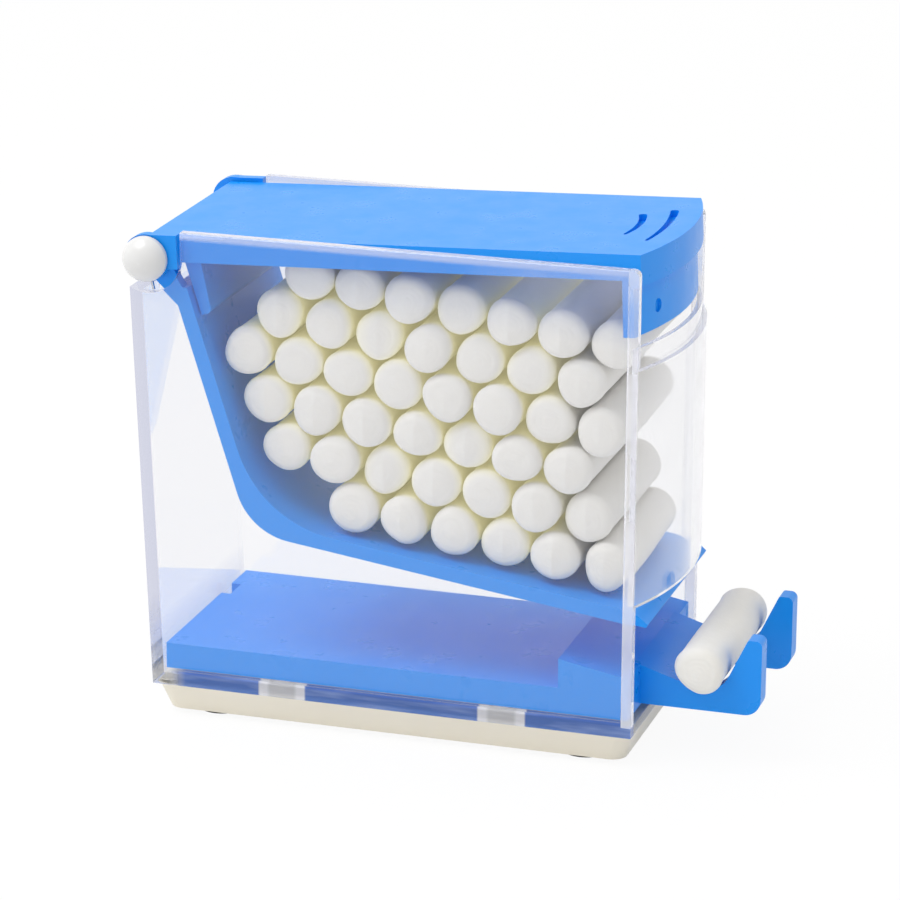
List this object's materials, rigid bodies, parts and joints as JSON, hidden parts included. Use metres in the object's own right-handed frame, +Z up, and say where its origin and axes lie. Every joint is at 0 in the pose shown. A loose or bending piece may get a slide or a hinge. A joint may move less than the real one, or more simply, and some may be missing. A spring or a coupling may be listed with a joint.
{
  "type": "cotton roll dispenser",
  "caption": "Press-type dispenser: clear box on a base, swinging hopper of cotton rolls under a hinged lid, curved front window, sliding tray with a forked cradle.",
  "frame": {"origin": "middle of the bounding box on the table, under the case", "axes": "+X towards the outlet and the cradle, +Y to the left seen from behind, +Z up"},
  "size_m": [0.1233, 0.0584, 0.1002],
  "materials": {
    "clear_plastic": "clear polished polystyrene",
    "ivory_plastic": "satin ivory plastic",
    "blue_plastic": "satin saturated blue plastic",
    "white_plastic": "glossy white plastic",
    "cotton": "matt woven cotton over cotton wool",
    "rubber": "matt black rubber",
    "screw_steel": "zinc plated steel",
    "pin_steel": "bright steel"
  },
  "bodies": {
    "case_body": {"base": "ivory_plastic", "rubber_feet": "rubber", "case_screws": "screw_steel", "clear_case": "clear_plastic", "front_window": "clear_plastic", "hinge_pin": "pin_steel", "near_pin_cap": "white_plastic", "far_pin_cap": "white_plastic", "near_return_spring": "pin_steel", "far_return_spring": "pin_steel"},
    "hopper_body": {"hopper": "blue_plastic", "first_roll_row": "cotton", "second_roll_row": "cotton", "third_roll_row": "cotton", "fourth_roll_row": "cotton", "fifth_roll_row": "cotton", "sixth_roll_row": "cotton"},
    "lid_body": {"lid": "blue_plastic"},
    "tray_body": {"tray": "blue_plastic"},
    "roll_body": {"dispensed_roll": "cotton"}
  },
  "joints": [
    {"name": "hopper_swing", "type": "hinge", "parent": "case_body", "child": "hopper_body", "pos_m": [-0.05705, 0, 0.0921], "axis": [0, 1, 0], "range_deg": [0, 4.4], "stiffness_Nm_per_rad": 1.2, "springref_deg": -8.02},
    {"name": "lid_open", "type": "hinge", "parent": "hopper_body", "child": "lid_body", "pos_m": [-0.05705, 0, 0.0921], "axis": [0, -1, 0], "range_deg": [0, 100]},
    {"name": "tray_slide", "type": "slide", "parent": "case_body", "child": "tray_body", "axis": [1, 0, 0], "range_m": [0, 0.06]},
    {"name": "roll_lift", "type": "slide", "parent": "tray_body", "child": "roll_body", "axis": [0, 0, 1], "range_m": [0, 0.03]}
  ]
}
